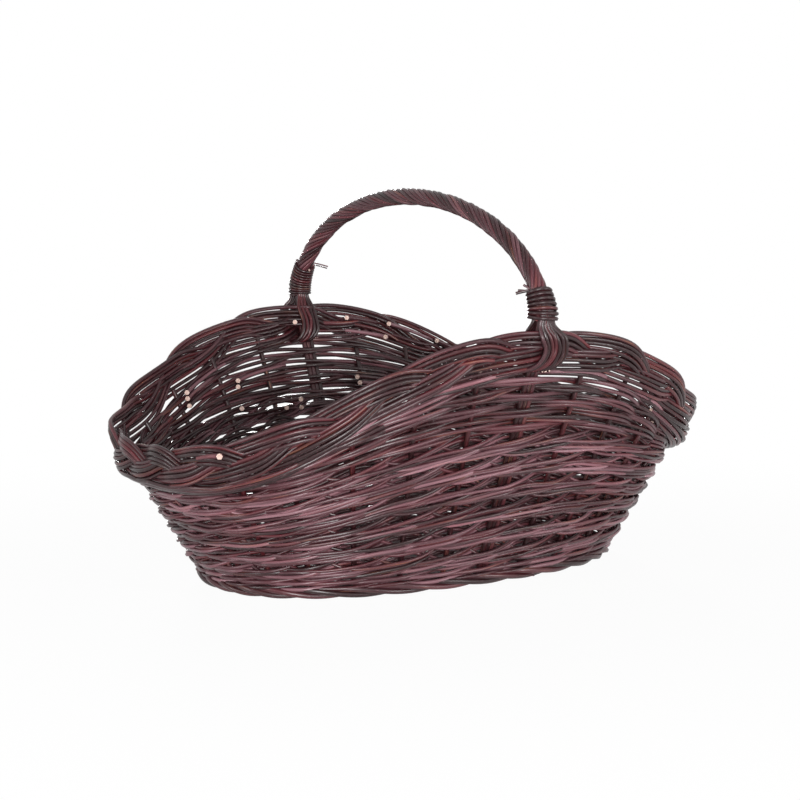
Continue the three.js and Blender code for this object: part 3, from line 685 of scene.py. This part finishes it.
ropeBundles = []
for member in range(handle["ropeRods"]):
    if member % handle["rodsPerBundle"] == 0:
        ropeBundles.append([])
    ropeBundles[-1] += [ropeRod(member), fanRod(member, True), fanRod(member, False)]
for number, rods in enumerate(ropeBundles, 1):
    makeRods(f"handle_rope_{number}_rods", rods, "willow_red", [f"handle_rope_{number}"], sides=8)

# bindings: a thin rod wound tightly over the roping at each foot, with loose ends
bindings = {
    "near": {"fromFar": False, "loops": 7, "radius": 0.0020, "pitch": 0.0040, "side": -1, "over": 0.0028,
             "ends": [((-0.004, 0.001), (-0.021, -0.002), 0.0016), ((-0.006, 0.000), (-0.014, 0.006), 0.0013),
                      ((-0.008, -0.001), (-0.019, 0.001), 0.0011)]},
    "far": {"fromFar": True, "loops": 11, "radius": 0.0014, "pitch": 0.0034, "side": 1, "over": 0.0014,
            "ends": [((0.002, 0.003), (0.025, -0.002), 0.0008), ((0.002, 0.001), (0.024, -0.004), 0.0007),
                     ((-0.004, 0.001), (0.006, 0.004), 0.0014), ((-0.007, -0.003), (-0.009, 0.006), 0.0015)]},
}
winding = {"stepsPerLoop": 20, "tuck": 0.005, "tuckRate": 5, "endBend": 0.0006, "endTone": 0.8,
           "sideways": np.array([0.83, -0.56, 0])}
for name, binding in bindings.items():
    turns = np.linspace(0, binding["loops"], binding["loops"] * winding["stepsPerLoop"] + 1)
    along = ropeFrom + turns * binding["pitch"]
    along = bowLength - along if binding["fromFar"] else along
    distance = ropeDistance(along) + handle["ropeRadius"] + binding["radius"]
    distance += binding["over"] * (1 - turns / binding["loops"])
    distance -= winding["tuck"] * np.exp(-winding["tuckRate"] * turns)
    wound = bowPoint(along, math.pi + turns * fullTurn * binding["side"], distance)
    bound = [rod(wound, binding["radius"])]
    middle = bowPoint(along[-1], 0, 0)
    for begin, end, radius in binding["ends"]:  # loose ends: across the handle and up from its middle line
        first, last = (middle + winding["sideways"] * across + [0, 0, up] for across, up in (begin, end))
        bent = blend(first, last, 0.5) + [0, 0, winding["endBend"]]
        bound.append(rod(throughKnots([first, bent, last], 4), radius, tone=winding["endTone"]))
    makeRods(f"handle_binding_{name}_rod", bound, "willow_red", [f"handle_binding_{name}"])
print("handle roped and bound")


# floor: pierced sticks with rings of thin rods woven over and under them
floor = {
    "reach": 0.186, "sideReach": 0.0884, "stickRadius": 0.0032, "stickSteps": 30, "stickWander": 0.0003,
    "longPlace": 0.0034, "crossPlaces": [0.108, 0.036, -0.036, -0.108],
    "splitFrom": 0.03, "splitFull": 0.012, "splitRise": 0.00493, "splitGap": 0.0008, "splitShare": 0.72,
    "slath": (0.150, 0.020), "edge": (0.187, 0.089), "rim": (0.2138, 0.1158),
    "bands": [("inner", -0.14, 0.46, 14), ("outer", 0.505, 0.98, 12)],  # shares from slath to edge, rings
    "edgeRings": 9, "ringRadius": 0.0020, "ringSteps": 360, "ringWander": 0.0004, "lift": 0.0043,
}
for number, y in enumerate((-floor["longPlace"], floor["longPlace"]), 1):
    node = f"floor_long_stick_{number}"
    along = np.linspace(-floor["reach"], floor["reach"], floor["stickSteps"])
    height = wall["floorLevel"] + drift(floor["stickSteps"], floor["stickWander"])
    stick = rod(np.stack([along, y + 0 * along, height], axis=-1), floor["stickRadius"])
    makeRods(node + "_rod", [stick], "willow_dark", [node], sides=8)
for number, x in enumerate(floor["crossPlaces"], 1):
    node = f"floor_cross_stick_{number}"
    power = wall["fullness"]
    reach = floor["sideReach"] * (1 - (abs(x) / floor["reach"]) ** power) ** (1 / power)
    split = []
    for half in (-1, 1):  # the stick opens in two round the long sticks
        rise = half * floor["splitRise"]
        path = [(-reach, 0), (-floor["splitFrom"], 0), (-floor["splitFull"], rise),
                (floor["splitFull"], rise), (floor["splitFrom"], 0), (reach, 0)]
        level = wall["floorLevel"] + half * floor["splitGap"]
        points = throughKnots([(x, y, level + up) for y, up in path], 6)
        split.append(rod(points, floor["stickRadius"] * floor["splitShare"]))
    makeRods(node + "_rods", split, "willow_dark", [node], sides=8)

ringAngles = np.arange(floor["ringSteps"]) / floor["ringSteps"] * fullTurn
ringX, ringY = unitPlan(ringAngles)


def ringSize(inner, outer, share):
    return [blend(a, b, share) for a, b in zip(inner, outer)]


def ringCrossings(half):  # how many sticks a ring has passed at each of its angles
    crossings = [0.0, math.pi]
    for x in floor["crossPlaces"]:
        slope = (abs(x / half[0]) ** -wall["fullness"] - 1) ** (1 / wall["fullness"])
        over = math.atan2(slope, math.copysign(1, x))
        crossings += [over, fullTurn - over]
    crossings = np.sort(crossings)
    return np.interp(ringAngles, np.append(crossings, fullTurn), np.arange(len(crossings) + 1))


def ringRod(half, lift):
    points = np.stack([ringX * half[0], ringY * half[1], wall["floorLevel"] + lift], axis=-1)
    return rod(points, floor["ringRadius"], True)


for name, low, high, rings in floor["bands"]:
    rods = []
    for ring in range(rings):
        half = ringSize(floor["slath"], floor["edge"], blend(low, high, ring / (rings - 1)))
        lift = floor["lift"] * np.cos(math.pi * (ringCrossings(half) + ring))
        rods.append(ringRod(half, lift + drift(floor["ringSteps"], floor["ringWander"])))
    makeRods(f"floor_weave_{name}_rods", rods, "willow_bark", [f"floor_weave_{name}"])
edgeRods = []
for ring in range(floor["edgeRings"]):
    half = ringSize(floor["edge"], floor["rim"], ring / (floor["edgeRings"] - 1))
    passed = wall["places"] * ringAngles / fullTurn - 0.5  # the toes of the stakes
    edgeRods.append(ringRod(half, floor["lift"] * np.cos(math.pi * (passed + ring))))
makeRods("floor_weave_edge_rods", edgeRods, "willow_bark", ["floor_weave_edge"])
print("floor woven")


# studio: a pale floor that fades to white, white surroundings and soft lamps
studio = {
    "world": 0.11, "groundSize": 12.0, "groundTone": 0.86, "groundRoughness": 0.9,
    "fade": (0.25, 0.95), "shadow": 0.05, "lampAim": (0, 0, 0.15),
    # name, place, size and watts
    "lamps": [("key", (-1.5, -2.7, 0.42), 0.7, 134), ("fill", (1.5, -2.6, 0.4), 0.7, 48),
              ("left", (-2.9, 0.2, 0.5), 0.6, 36), ("back", (1.3, 2.7, 0.45), 0.8, 70)],
}


def backdropRay(start):  # rays that meet the white surroundings directly or in a gloss
    kinds = ("Is Camera Ray", "Is Glossy Ray", "Is Transmission Ray")
    seen, gloss, through = (start.node("LightPath", {}, {}, kind) for kind in kinds)
    return start.maths("MINIMUM", seen + gloss + through, 1.0)


world = bpy.data.worlds.new("studio")
scene.world = world
world.use_nodes = True
backdrop = world.node_tree.nodes["Background"]
backdrop.inputs["Color"].default_value = (1, 1, 1, 1)
(backdropRay(Wire(world.node_tree)) * (1 - studio["world"]) + studio["world"]).feed(backdrop, "Strength")

bpy.ops.mesh.primitive_plane_add(size=studio["groundSize"])
ground = bpy.context.object
ground.name = "groundSheet"
sheet, shader, start = newMaterial("groundSheet")
shader.inputs["Base Color"].default_value = (*[studio["groundTone"]] * 3, 1)
shader.inputs["Roughness"].default_value = studio["groundRoughness"]
glow = start.node("Emission", {}, {"Color": (1, 1, 1, 1), "Strength": 1.0})
onGround = start.node("TexCoord", {}, {}, "Object")
away = start.node("VectorMath", {"operation": "LENGTH"}, {0: onGround}, "Value")
white = start.node("MapRange", {"interpolation_type": "SMOOTHSTEP"}, {
    "Value": away, "From Min": studio["fade"][0], "From Max": studio["fade"][1],
    "To Min": 1 - studio["shadow"], "To Max": 1.0})
lit = Wire(start.tree, shader.outputs[0])
mixed = start.node("MixShader", {}, {0: backdropRay(start) * white, 1: lit, 2: glow})
mixed.feed(start.tree.nodes["Material Output"], "Surface")
ground.data.materials.append(sheet)

for name, place, size, power in studio["lamps"]:
    lamp = bpy.data.lights.new(name, "AREA")
    lamp.shape = "DISK"
    lamp.size = size
    lamp.energy = power
    holder = bpy.data.objects.new(name, lamp)
    holder.location = place
    holder.rotation_euler = (Vector(studio["lampAim"]) - Vector(place)).to_track_quat("-Z", "Y").to_euler()
    scene.collection.objects.link(holder)

# camera at the photograph's angle
view = {"azimuth": math.radians(-34.12), "elevation": math.radians(6.65), "distance": 2.038,
        "aim": (-0.0112, 0.0027, 0.16985), "lens": 90.0, "sensor": 36.0}
azimuth, elevation = view["azimuth"], view["elevation"]
level = math.cos(elevation)
back = Vector((math.sin(azimuth) * level, -math.cos(azimuth) * level, math.sin(elevation)))
lens = bpy.data.cameras.new("photoCamera")
lens.lens = view["lens"]
lens.sensor_width = view["sensor"]
photoCamera = bpy.data.objects.new("photoCamera", lens)
photoCamera.location = Vector(view["aim"]) + back * view["distance"]
photoCamera.rotation_euler = (-back).to_track_quat("-Z", "Y").to_euler()
scene.collection.objects.link(photoCamera)
scene.camera = photoCamera
scene.view_settings.view_transform = "Standard"
print("studio set")
